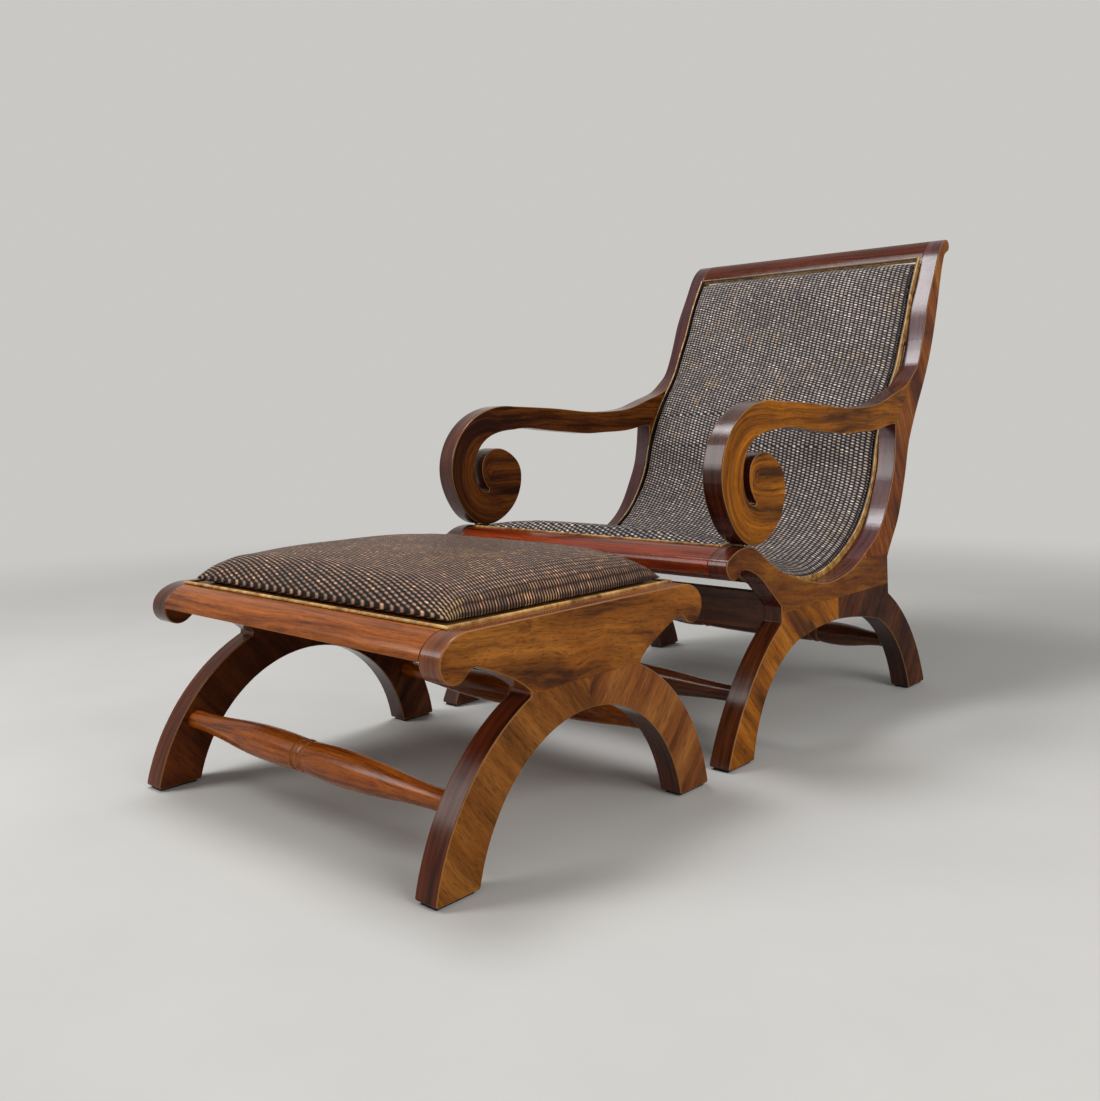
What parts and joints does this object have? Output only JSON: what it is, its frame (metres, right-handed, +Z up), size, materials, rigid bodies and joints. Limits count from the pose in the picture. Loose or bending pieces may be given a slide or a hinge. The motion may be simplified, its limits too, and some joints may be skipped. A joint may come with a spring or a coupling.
{
  "type": "planters chair",
  "caption": "Low hardwood lounge chair with scrolled arms, arched legs and a long woven seat and back, with a matching woven footstool",
  "frame": {"origin": "middle of the footprint of the chair and its footstool, on the floor", "axes": "+X to the right seen from the front, the near side in the picture and the left hand of a sitter; -Y to the front, where the footstool stands; +Z up"},
  "size_m": [0.69, 1.6403, 0.9946],
  "materials": {
    "frame_hardwood": "polished red-brown hardwood",
    "carcass_wood": "plain sawn hardwood",
    "woven_cane": "dark stained woven cane over padding",
    "cane_bead": "natural split cane",
    "foot_rubber": "black rubber sheet",
    "screw_steel": "plain steel"
  },
  "bodies": {
    "chair": {"arm_dowels": "carcass_wood", "back_slat_1": "carcass_wood", "back_slat_2": "carcass_wood", "back_slat_3": "carcass_wood", "back_slat_4": "carcass_wood", "back_stile_left": "frame_hardwood", "back_stile_right": "frame_hardwood", "batten_screws": "screw_steel", "crest_bead": "cane_bead", "crest_rail": "frame_hardwood", "foot_pads": "foot_rubber", "front_bead": "cane_bead", "front_bearer": "frame_hardwood", "front_leg_left": "frame_hardwood", "front_leg_right": "frame_hardwood", "front_rail": "frame_hardwood", "front_rail_plug": "frame_hardwood", "front_stretcher": "frame_hardwood", "joint_dowels": "carcass_wood", "rear_bearer": "frame_hardwood", "rear_leg_left": "frame_hardwood", "rear_leg_right": "frame_hardwood", "rear_stretcher": "frame_hardwood", "scroll_arm_left": "frame_hardwood", "scroll_arm_right": "frame_hardwood", "scroll_dowels": "carcass_wood", "seat_rail_left": "frame_hardwood", "seat_rail_right": "frame_hardwood", "seat_slat_1": "carcass_wood", "seat_slat_2": "carcass_wood", "seat_slat_3": "carcass_wood", "seat_slat_4": "carcass_wood", "seat_slat_5": "carcass_wood", "side_batten_left": "carcass_wood", "side_batten_right": "carcass_wood", "side_bead_left": "cane_bead", "side_bead_right": "cane_bead", "slat_screws": "screw_steel", "woven_seat_back": "woven_cane"},
    "footstool": {"stool_deck": "carcass_wood", "stool_dowels": "carcass_wood", "stool_foot_pads": "foot_rubber", "stool_front_bead": "cane_bead", "stool_front_leg_left": "frame_hardwood", "stool_front_leg_right": "frame_hardwood", "stool_front_rail": "frame_hardwood", "stool_front_stretcher": "frame_hardwood", "stool_ledger_left": "carcass_wood", "stool_ledger_right": "carcass_wood", "stool_left_bead": "cane_bead", "stool_pad": "woven_cane", "stool_rear_bead": "cane_bead", "stool_rear_leg_left": "frame_hardwood", "stool_rear_leg_right": "frame_hardwood", "stool_rear_rail": "frame_hardwood", "stool_rear_stretcher": "frame_hardwood", "stool_right_bead": "cane_bead", "stool_screws": "screw_steel", "stool_side_rail_left": "frame_hardwood", "stool_side_rail_right": "frame_hardwood"}
  },
  "joints": [
    {"name": "footstool_slide", "type": "slide", "parent": "chair", "child": "footstool", "axis": [0, -1, 0], "range_m": [-0.05, 0.5]}
  ]
}
